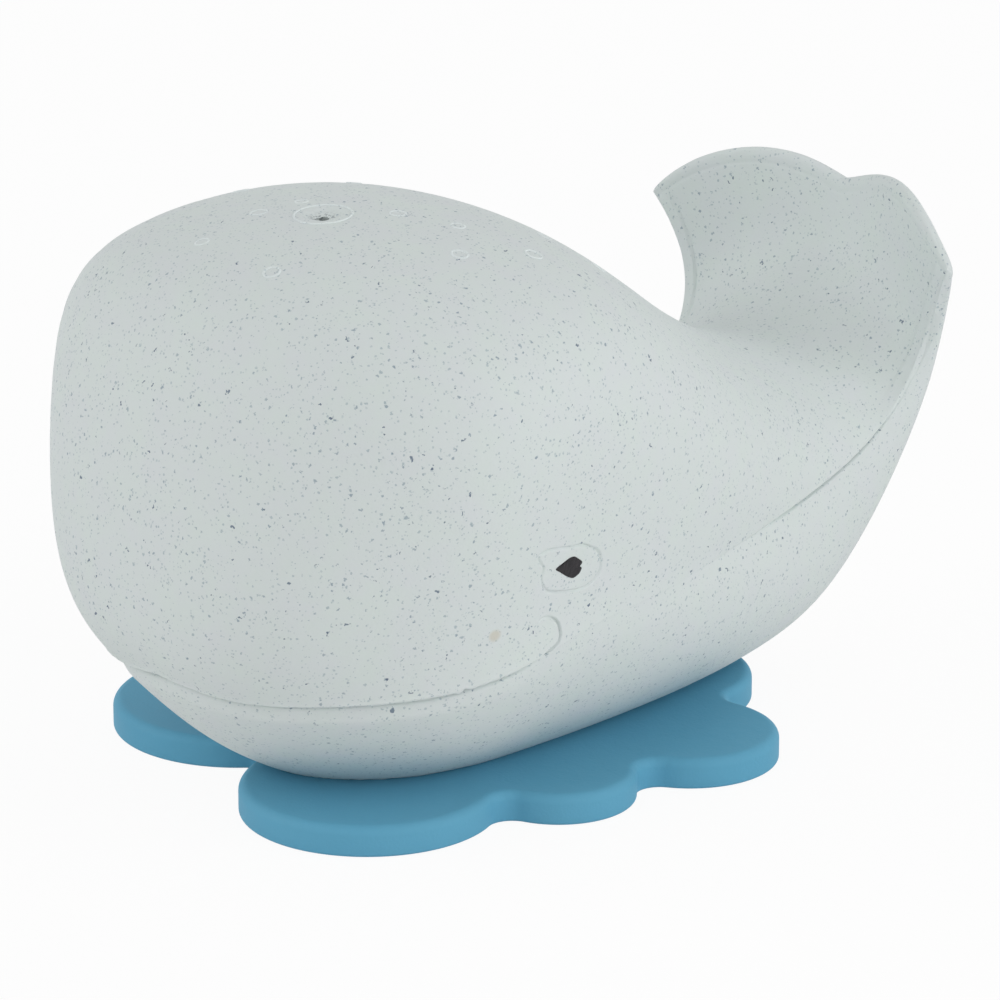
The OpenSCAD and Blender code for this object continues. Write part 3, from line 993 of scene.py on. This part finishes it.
        taper = 1.0 - 0.75 * smooth((spot / len(curl) - 0.55) / 0.45)
        height[near] -= self.curl_groove * taper * np.exp(-(to_curl / self.groove_w)**2)
        return moved + n * height[:, None]

    def _tools(self) -> list[Piece]:
        """Closed tools for the cavity, the squeaker's socket, the blowhole and the belly opening.

        Returns:
            The tools, in the order to cut them.
        """
        loft = self.loft
        place, _, _, normal = loft.seat(loft.blow_u, 90.0)
        y = float(place[1])
        flange_top = self.barrel_foot + self.flange_t
        cavity = self._cavity()
        boss, barrel = circle(self.socket_d / 2, y), circle(self.barrel_d / 2, y)
        carve(cavity, prism("boss", ((boss, self.clear_top), (boss, flange_top)), 30.0))
        bore = prism("socket", ((barrel, self.barrel_top), (barrel, flange_top - 0.02)), 30.0)
        dish = self._ball("dish", place, normal, self.dish_r, self.dish_depth, 0.0)
        pit = self._ball("pit", place - normal * self.dish_depth, normal, self.pit_r, self.pit_depth, self.pit_rough)
        turn = np.linspace(0.0, 2 * math.pi, ROUND_STEPS, endpoint=False)
        rough = 1.0 + self.pit_rough * ripple(3.0 * np.cos(turn) + 2.0 * np.sin(turn), 1.3)
        mouth, shaft = circle(self.hole_mouth * rough, y), circle(self.blow_d / 2, y)
        hole = prism("hole", ((mouth, self.clear_top), (mouth, place[2] - 0.6),
                              (shaft, place[2] - 2.0), (shaft, self.barrel_foot)), 40.0)
        opening = stadium(self.opening_l, self.opening_w, PLUG_Y, 24)
        belly = prism("belly", ((opening, loft.belly_z + self.wall + 0.5), (opening, loft.belly_z - 1.0)), 30.0)
        return [cavity, bore, hole, dish, pit, belly]

    @staticmethod
    def _ball(name: str, place: Array, normal: Array, radius: float, depth: float, rough: float) -> Piece:
        """A ball that cuts a round hollow into the skin.

        Args:
            name: Name of the tool.
            place: Where the hollow's rim is level, in millimetres.
            normal: Outward direction there.
            radius: Radius of the hollow's rim.
            depth: Depth of the hollow.
            rough: How far the ball's surface is uneven, in millimetres.

        Returns:
            The closed tool.
        """
        ball_r = (radius**2 + depth**2) / (2 * depth)
        bm = bmesh.new()
        bmesh.ops.create_icosphere(bm, subdivisions=6, radius=ball_r)
        points = np.array([v.co for v in bm.verts])
        faces = [[v.index for v in f.verts] for f in bm.faces]
        bm.free()
        if rough > 0.0:
            lumps = ripple(points[:, 0] * 4.1, 0.2) * ripple(points[:, 1] * 4.7, 1.1)
            points *= 1.0 + (rough * lumps / ball_r)[:, None]
        piece = new_object(name, points + place + normal * (ball_r - depth), faces)
        settle(piece, 30.0)
        return piece

    def _cavity(self) -> Piece:
        """The hollow inside the whale, one wall within the skin.

        Returns:
            The closed tool.
        """
        rings, half = self.cavity_rings, self.cavity_half
        stations = np.linspace(*self.cavity_run, rings)
        angles = (np.arange(2 * half) + 0.5) * 180.0 / half
        u, a = np.repeat(stations, 2 * half), np.tile(angles, rings)
        low = a > 180.0
        p = self.loft.point(u, a, low) - self.wall * self.loft.normal(u, a, low)
        p[:, 2] = np.maximum(p[:, 2], self.loft.belly_z + self.wall)
        n = 2 * half
        faces = tube_faces(rings, n)
        for first in (0, (rings - 1) * n):
            faces += [[first + k, first + k + 1, first + n - 2 - k, first + n - 1 - k] for k in range(half - 1)]
        piece = new_object("cavity", p, faces)
        settle(piece, 40.0)
        return piece


@dataclass
class PaintedEye(Moulding):
    """A drop of paint in the eye outline, laid on the skin."""

    body: WhaleBody
    side: Side
    film: float = 0.06
    depth: float = 0.5
    outline: tuple = (
        (-2.74, 0.86), (-1.62, 1.34), (-0.5, 1.66), (0.3, 1.58), (1.0, 1.06), (1.75, 0.35), (1.8, 0.0), (1.5, -0.25),
        (1.78, -0.6), (1.7, -1.05), (1.23, -1.43), (0.34, -1.55), (-0.62, -1.02), (-1.95, 0.1),
    )

    def build(self, skin: BVHTree) -> Piece:
        """Build the drop over the skin.

        Args:
            skin: The whale's skin, to lay the paint on.

        Returns:
            The new object.
        """
        place, along, up, normal = self.body.loft.seat(self.body.eye_u, self.body.eye_a, self.side)
        flat = closed_curve(self.outline, 10)
        n = len(flat)
        rings = [(1.0, -self.depth), (1.0, -0.05), (0.985, self.film * 0.6), (0.93, self.film), (0.75, self.film),
                 (0.5, self.film), (0.25, self.film)]
        points = []
        for index, (share, lift) in enumerate(rings):
            for x, y in flat * share:
                start = place + along * x + up * y + normal * 4.0
                hit = skin.ray_cast(Vector(start * MM), Vector(-normal))[0]
                lumps = 0.02 * math.sin(5.0 * x + index) * math.cos(6.0 * y) if lift > 0.03 else 0.0
                points.append(np.array(hit) / MM + normal * (lift + lumps))
        centre = np.array(skin.ray_cast(Vector((place + normal * 4.0) * MM), Vector(-normal))[0]) / MM
        faces = tube_faces(len(rings), n)
        points += [centre + normal * self.film, centre - normal * self.depth]
        top, under, inner = len(points) - 2, len(points) - 1, (len(rings) - 1) * n
        faces += [[inner + k, top, inner + (k + 1) % n] for k in range(n)]
        faces += [[k, (k + 1) % n, under] for k in range(n)]
        piece = new_object(f"{self.side.name.lower()}_eye_paint", np.array(points), faces)
        settle(piece, 50.0)
        self.piece = piece
        return piece


@dataclass
class CrownRings:
    """Raised rings moulded on the crown: the one round the blowhole and small ones like bubbles."""

    loft: WhaleLoft
    blow_ring_r: float = 3.6
    blow_bead: float = 0.045
    bubble_bead: float = 0.2
    sunk: float = 0.55
    sides: int = 64
    seed: int = 7
    bubbles: tuple = (
        (4.322, 98.2, 1.0), (4.597, 96.6, 0.8), (4.822, 83.4, 1.0), (4.997, 75.6, 0.9), (4.697, 68.3, 1.0),
        (5.222, 64.1, 1.1), (5.797, 72.6, 0.9), (6.122, 65.5, 1.0), (3.796, 98.2, 0.9), (3.696, 81.8, 1.0),
        (5.35, 104.0, 0.9), (5.75, 113.0, 1.0), (4.75, 114.0, 1.0), (6.15, 106.0, 0.9), (5.2, 118.0, 1.1),
    )

    def tree(self) -> Tree:
        """A tree that sets a beaded ring on each point, along the skin's normal there.

        Returns:
            The geometry node tree.
        """
        sheet = new_group(
            "Ring Marks", "GeometryNodeTree",
            [("Points", "NodeSocketGeometry", None), ("Bead Share", "NodeSocketFloat", 0.12),
             ("Sides", "NodeSocketInt", 48), ("Seed", "NodeSocketInt", 7), ("Finish", "NodeSocketMaterial", None)],
            [("Marks", "NodeSocketGeometry")],
        )
        taken = sheet.add("NodeGroupInput").outputs
        facing = sheet.add("GeometryNodeInputNamedAttribute", {"Name": "facing"}, data_type="FLOAT_VECTOR")
        span = sheet.add("GeometryNodeInputNamedAttribute", {"Name": "span"}, data_type="FLOAT")
        turn = sheet.add("FunctionNodeAlignRotationToVector", {"Vector": facing.outputs["Attribute"]}, axis="Z")
        vary = sheet.add("FunctionNodeRandomValue", {"Seed": taken["Seed"]}, data_type="FLOAT")
        vary.inputs[2].default_value, vary.inputs[3].default_value = 0.97, 1.03
        size = sheet.maths("MULTIPLY", span.outputs["Attribute"], vary.outputs[1])
        circle = sheet.add("GeometryNodeCurvePrimitiveCircle", {"Resolution": taken["Sides"], "Radius": 1.0})
        bead = sheet.add("GeometryNodeCurvePrimitiveCircle", {"Resolution": 12, "Radius": taken["Bead Share"]})
        ring = sheet.add("GeometryNodeCurveToMesh", {
            "Curve": circle.outputs["Curve"], "Profile Curve": bead.outputs["Curve"]})
        spots = sheet.add("GeometryNodeInstanceOnPoints", {
            "Points": taken["Points"], "Instance": ring.outputs["Mesh"], "Rotation": turn.outputs[0], "Scale": size})
        real = sheet.add("GeometryNodeRealizeInstances", {"Geometry": spots.outputs[0]})
        dressed = sheet.add("GeometryNodeSetMaterial", {"Geometry": real.outputs[0], "Material": taken["Finish"]})
        sheet.add("NodeGroupOutput", {"Marks": dressed.outputs[0]})
        return sheet.tree

    def build(self, finish: Material) -> list[Piece]:
        """Build the blowhole's ring and the bubbles.

        Args:
            finish: The paler rubber they are dressed in: painted highlight on the raised rings, with rubbed wear.

        Returns:
            The two objects.
        """
        tree = self.tree()
        made = []
        for name, marks, bead in (
            ("blowhole_ring", ((self.loft.blow_u, 90, self.blow_ring_r),), self.blow_bead),
            ("crown_bubbles", self.bubbles, self.bubble_bead),
        ):
            seats = [self.loft.seat(u, a) for u, a, _ in marks]
            sink = np.array([[m[2] * bead * self.sunk] for m in marks])
            piece = new_object(name, np.array([s[0] for s in seats]) - np.array([s[3] for s in seats]) * sink, [])
            facing = piece.data.attributes.new("facing", "FLOAT_VECTOR", "POINT")
            facing.data.foreach_set("vector", np.array([s[3] for s in seats]).astype(np.float32).ravel())
            span = piece.data.attributes.new("span", "FLOAT", "POINT")
            span.data.foreach_set("value", np.array([m[2] * MM for m in marks], np.float32))
            mould = piece.modifiers.new("rings", "NODES")
            mould.node_group = tree
            settings = {"Bead Share": bead, "Sides": self.sides, "Seed": self.seed, "Finish": finish}
            for item in tree.interface.items_tree:
                if item.item_type == "SOCKET" and item.in_out == "INPUT" and item.name in settings:
                    mould[item.identifier] = settings[item.name]
            mesh = bpy.data.meshes.new_from_object(piece.evaluated_get(bpy.context.evaluated_depsgraph_get()))
            piece.modifiers.clear()
            piece.data = mesh
            settle(piece, 60.0)
            made.append(piece)
        return made


@dataclass
class PuddleBase(Moulding):
    """The scalloped puddle with the plug that the whale sits on."""

    plate_t: float = 4.0
    edge_r: float = 1.2
    foot_r: float = 0.5
    valley_r: float = 3.0
    plug_h: float = 11.0
    plug_edge: float = 2.0
    plug_l: float = 35.4
    plug_w: float = 17.4
    lobes: tuple = (
        (-24.098, -1.5, 17), (10.041, -10.5, 16.5), (23.596, 9.5, 10), (25.102, 31.5, 11.8),
        (6.024, 44, 13.5), (-14.057, 38, 13), (-27.11, 21, 13),
    )
    lobe_steps: int = 56
    valley_steps: int = 18

    def outline(self, inset: float) -> Array:
        """The puddle's outline drawn in by some amount: round each lobe, then back round the hollow after it.

        Args:
            inset: How far to draw it in, in millimetres.

        Returns:
            Points anticlockwise from above.
        """
        lobes = np.array(self.lobes)
        centres, radii = lobes[:, :2], lobes[:, 2]
        hollows = []
        for i in range(len(lobes)):
            j = (i + 1) % len(lobes)
            d = centres[j] - centres[i]
            gap = np.linalg.norm(d)
            ra, rb = radii[i] + self.valley_r, radii[j] + self.valley_r
            along = (ra * ra - rb * rb + gap * gap) / (2 * gap)
            out = math.sqrt(ra * ra - along * along)
            hollows.append(centres[i] + d / gap * along + np.array([d[1], -d[0]]) / gap * out)
        points = []
        for i, centre in enumerate(centres):
            start, end = hollows[i - 1] - centre, hollows[i] - centre
            first = math.atan2(start[1], start[0])
            sweep = (math.atan2(end[1], end[0]) - first) % (2 * math.pi)
            turn = first + sweep * np.linspace(0.0, 1.0, self.lobe_steps + 1)
            points.append(centre + (radii[i] - inset) * np.stack([np.cos(turn), np.sin(turn)], 1))
            begin = first + sweep + math.pi
            on = centres[(i + 1) % len(lobes)] - hollows[i]
            back = (begin - math.atan2(on[1], on[0])) % (2 * math.pi)
            turn = begin - back * np.linspace(0.0, 1.0, self.valley_steps + 1)[1:-1]
            points.append(hollows[i] + (self.valley_r + inset) * np.stack([np.cos(turn), np.sin(turn)], 1))
        return np.vstack(points)

    def build(self) -> Piece:
        """Build the plate and the plug as one closed moulding.

        Returns:
            The new object.
        """
        bm = bmesh.new()
        quarter = np.radians(np.linspace(0.0, 90.0, 8))
        foot = [(self.foot_r * (1 - math.sin(t)), self.foot_r * (1 - math.cos(t))) for t in quarter]
        rim = [(self.edge_r * (1 - math.cos(t)), self.plate_t - self.edge_r * (1 - math.sin(t))) for t in quarter]
        steps = [(self.foot_r + 0.3, 0.0), *foot, *rim, (self.edge_r + 0.35, self.plate_t)]
        plate = [self._loop(bm, self.outline(inset), z) for inset, z in steps]
        rise = [(0.0, self.plate_t), (0.0, self.plate_t + 0.4)]
        top = self.plate_t + self.plug_h
        rise += [(self.plug_edge * (1 - math.cos(t)), top - self.plug_edge * (1 - math.sin(t))) for t in quarter]
        rise += [(self.plug_edge + 0.3, top)]
        plug = [self._loop(bm, stadium(self.plug_l - 2 * i, self.plug_w - 2 * i, PLUG_Y, 30), z) for i, z in rise]
        for loops in (plate, plug):
            for lower, upper in zip(loops, loops[1:]):
                count = len(lower)
                for k in range(count):
                    bm.faces.new((lower[k], lower[(k + 1) % count], upper[(k + 1) % count], upper[k]))
        bm.faces.new(plate[0][::-1])
        bm.faces.new(plug[-1])
        rings = [bm.edges.get((loop[k - 1], loop[k])) for loop in (plate[-1], plug[0]) for k in range(len(loop))]
        bmesh.ops.triangle_fill(bm, use_beauty=True, use_dissolve=False, edges=rings, normal=(0.0, 0.0, 1.0))
        mesh = bpy.data.meshes.new("puddle")
        bm.to_mesh(mesh)
        bm.free()
        piece = bpy.data.objects.new("puddle", mesh)
        bpy.context.scene.collection.objects.link(piece)
        settle(piece, 40.0)
        self.piece = piece
        return piece

    @staticmethod
    def _loop(bm: bmesh.types.BMesh, outline: Array, z: float) -> list[bmesh.types.BMVert]:
        """Add an outline at one height, in millimetres."""
        return [bm.verts.new((x * MM, y * MM, z * MM)) for x, y in outline]


@dataclass
class Squeaker:
    """The squeaker under the blowhole, which shows its solids as they are."""

    housing: tuple[str, ...] = ("squeaker_barrel", "reed_seat", "reed_wedge")
    reed: str = "squeaker_reed"

    def dress(self, plastic: Material, film: Material) -> None:
        """Give the housing and the reed their materials.

        Args:
            plastic: Material of the moulded housing.
            film: Material of the reed.
        """
        for node in self.housing:
            paint_all(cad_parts[node], plastic)
            LOG.info("%s: dressed as packed", node)
        paint_all(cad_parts[self.reed], film)
        LOG.info("%s: dressed as packed", self.reed)


@dataclass
class Studio:
    """White floor and backdrop, soft light and the camera."""

    azimuth: float = 46.0
    elevation: float = 18.5
    distance: float = 700.0
    anchor: tuple[float, float, float] = (0.0, -5.0, 40.8)
    shown_at: tuple[float, float] = (345.0, 474.0)
    scale_px: float = 7.96
    frame_px: float = 1000.0
    sensor: float = 36.0
    world_light: float = 0.45
    lamps: tuple = (
        ("front_low", 50.0, 6.0, 4.6), ("left_side", 115.0, 25.0, 6.8), ("right_front", 320.0, 25.0, 6.0),
        ("back_high", 200.0, 60.0, 2.2),
    )
    lamp_aim: tuple[float, float, float] = (0.0, 20.0, 40.0)
    lamp_away: float = 1350.0
    lamp_size: float = 1100.0
    floor_half: float = 3000.0
    floor_tone: float = 0.92
    floor_glow: float = 0.93

    def direction(self, azimuth: float, elevation: float) -> Vector:
        """Unit direction from the object towards a place round it, in degrees."""
        a, e = math.radians(azimuth), math.radians(elevation)
        return Vector((math.sin(a) * math.cos(e), -math.cos(a) * math.cos(e), math.sin(e)))

    def camera(self) -> None:
        """Set the camera where the picture was taken from."""
        back = self.direction(self.azimuth, self.elevation)
        a = math.radians(self.azimuth)
        right = Vector((math.cos(a), math.sin(a), 0.0))
        up = back.cross(right)
        middle = self.frame_px / 2
        aim = (Vector(self.anchor) + right * ((middle - self.shown_at[0]) / self.scale_px)
               - up * ((middle - self.shown_at[1]) / self.scale_px))
        data = bpy.data.cameras.new("camera")
        data.sensor_width = self.sensor
        data.lens = self.scale_px * self.distance * self.sensor / self.frame_px
        data.clip_start = 0.01
        eye = bpy.data.objects.new("camera", data)
        eye.location = (aim + back * self.distance) * MM
        eye.rotation_euler = back.to_track_quat("Z", "Y").to_euler()
        bpy.context.scene.collection.objects.link(eye)
        bpy.context.scene.camera = eye

    def lamp(self, name: str, azimuth: float, elevation: float, power: float) -> None:
        """Hang a soft box that faces the whale.

        Args:
            name: Name of the lamp.
            azimuth: Where it hangs round the whale, in degrees.
            elevation: How high it hangs, in degrees.
            power: Watts.
        """
        data = bpy.data.lights.new(name, "AREA")
        data.shape = "SQUARE"
        data.size = self.lamp_size * MM
        data.energy = power
        box = bpy.data.objects.new(name, data)
        toward = self.direction(azimuth, elevation)
        box.location = (Vector(self.lamp_aim) + toward * self.lamp_away) * MM
        box.rotation_euler = toward.to_track_quat("Z", "Y").to_euler()
        bpy.context.scene.collection.objects.link(box)

    def world(self) -> None:
        """Light all round, and plain white for the camera and in reflections."""
        world = bpy.data.worlds.new("studio")
        world.use_nodes = True
        sheet = NodeSheet(world.node_tree)
        strength = sheet.add("ShaderNodeMapRange", {0: sheet.seen(), 3: self.world_light, 4: 1.0})
        white = sheet.add("ShaderNodeBackground", {"Color": (1, 1, 1, 1), "Strength": strength.outputs[0]})
        sheet.add("ShaderNodeOutputWorld", {"Surface": white.outputs[0]})
        bpy.context.scene.world = world

    def floor(self) -> None:
        """Lay a wide white floor that keeps a faint shadow."""
        corners = np.array([(-1, -1, 0), (1, -1, 0), (1, 1, 0), (-1, 1, 0)]) * self.floor_half
        slab = new_object("floor", corners, [[0, 1, 2, 3]])
        made = bpy.data.materials.new("white_floor")
        made.use_nodes = True
        sheet = NodeSheet(made.node_tree)
        matt = sheet.add("ShaderNodeBsdfDiffuse", {"Color": (*[self.floor_tone] * 3, 1)})
        glow = sheet.add("ShaderNodeEmission", {"Color": (1, 1, 1, 1), "Strength": 1.0})
        share = sheet.maths("MULTIPLY", sheet.seen(), self.floor_glow)
        both = sheet.add("ShaderNodeMixShader", {0: share, 1: matt.outputs[0], 2: glow.outputs[0]})
        sheet.add("ShaderNodeOutputMaterial", {"Surface": both.outputs[0]})
        slab.data.materials.append(made)

    def build(self) -> None:
        """Set the whole studio up."""
        self.camera()
        self.world()
        self.floor()
        for lamp in self.lamps:
            self.lamp(*lamp)
        bpy.context.scene.view_settings.view_transform = "Standard"


FLECKS = (
    FleckLayer(1900.0, 0.35, 0.6, 0.8, 1.0, srgb(186, 198, 200), srgb(158, 174, 182), 0.7),
    FleckLayer(1150.0, 0.29, 0.8, 0.7, 1.5, srgb(166, 182, 187), srgb(114, 135, 152), 0.72),
    FleckLayer(520.0, 0.15, 0.8, 0.6, 1.0, srgb(110, 128, 142), srgb(70, 88, 116), 0.88),
)
RUBBER = SpeckledRubber(
    name="speckled_rubber", tone=srgb(209, 218, 215), other_tone=srgb(210, 216, 217), roughness=0.62, specular=0.32,
    drift_scale=210.0, layers=FLECKS,
    marks=(
        StainAndShadeMark((0.03327, -0.01093, 0.02934), 0.0011, srgb(196, 190, 172), 0.6),
        # Grainy darkening over the blowhole's pit: painted shade of the hole.
        StainAndShadeMark((0.0, -0.00825, 0.0751), 0.0021, srgb(112, 120, 126), 0.8, 2600.0),
    ),
)
# Paler rubber on the raised crown rings: painted highlight where they catch the light, together with rubbed wear on
# their tops.
WORN_HIGHLIGHT_RUBBER = SpeckledRubber(
    name="worn_highlight_rubber", tone=srgb(222, 230, 228), other_tone=srgb(217, 225, 226), roughness=0.55, specular=0.35,
    drift_scale=210.0, layers=FLECKS[:1],
)
PUDDLE_RUBBER = Finish("puddle_rubber", srgb(92, 160, 190), srgb(98, 165, 194), 0.62, 0.22, drift_scale=45.0)
SQUEAKER_PLASTIC = Finish("squeaker_plastic", srgb(236, 236, 231), srgb(229, 230, 226), 0.42, 0.5)
REED_FILM = Finish("reed_film", srgb(205, 218, 226), srgb(196, 212, 222), 0.22, 0.5, grain_swell=900.0)
EYE_PAINT = Finish("eye_paint", srgb(24, 22, 26), srgb(44, 41, 44), 0.55, 0.25, drift_scale=900.0, bump_m=0.00012)


def place(piece: Piece, body: str, slot: str, *nodes: str) -> None:
    """Hand a finished piece to the frame.

    Args:
        piece: The piece, at the origin.
        body: Body that it moves with.
        slot: Material slot of the record; not used.
        *nodes: Solids that it stands for.
    """
    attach(piece, body)
    if nodes:
        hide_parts(*nodes)
    LOG.info("%s: %d faces on %s", piece.name, len(piece.data.polygons), body)


def main() -> None:
    """Build and dress every piece, then the studio."""
    logging.basicConfig(level=logging.INFO, format="%(name)s: %(message)s")
    effects = SurfaceEffects()
    loft = WhaleLoft()
    rubber = RUBBER.material(effects)
    paint = EYE_PAINT.material(effects)

    whale = WhaleBody(loft)
    body = whale.build()
    whale.dress(rubber)
    skin = BVHTree.FromObject(body, bpy.context.evaluated_depsgraph_get())
    place(body, "whale", "speckled_rubber", "whale_body")
    # The crown rings get the paler rubber, a painted highlight with rubbed wear.
    for ring in CrownRings(loft).build(WORN_HIGHLIGHT_RUBBER.material(effects)):
        place(ring, "whale", "speckled_rubber")
    for side in Side:
        eye = PaintedEye(whale, side)
        eye.build(skin)
        eye.dress(paint)
        place(eye.piece, "whale", "eye_paint", f"{side.name.lower()}_eye")

    puddle = PuddleBase()
    puddle.build()
    puddle.dress(PUDDLE_RUBBER.material(effects))
    place(puddle.piece, "base", "blue_rubber", "puddle_base")

    Squeaker().dress(SQUEAKER_PLASTIC.material(effects), REED_FILM.material(effects))

    Studio().build()


if __name__ == "__main__":
    main()
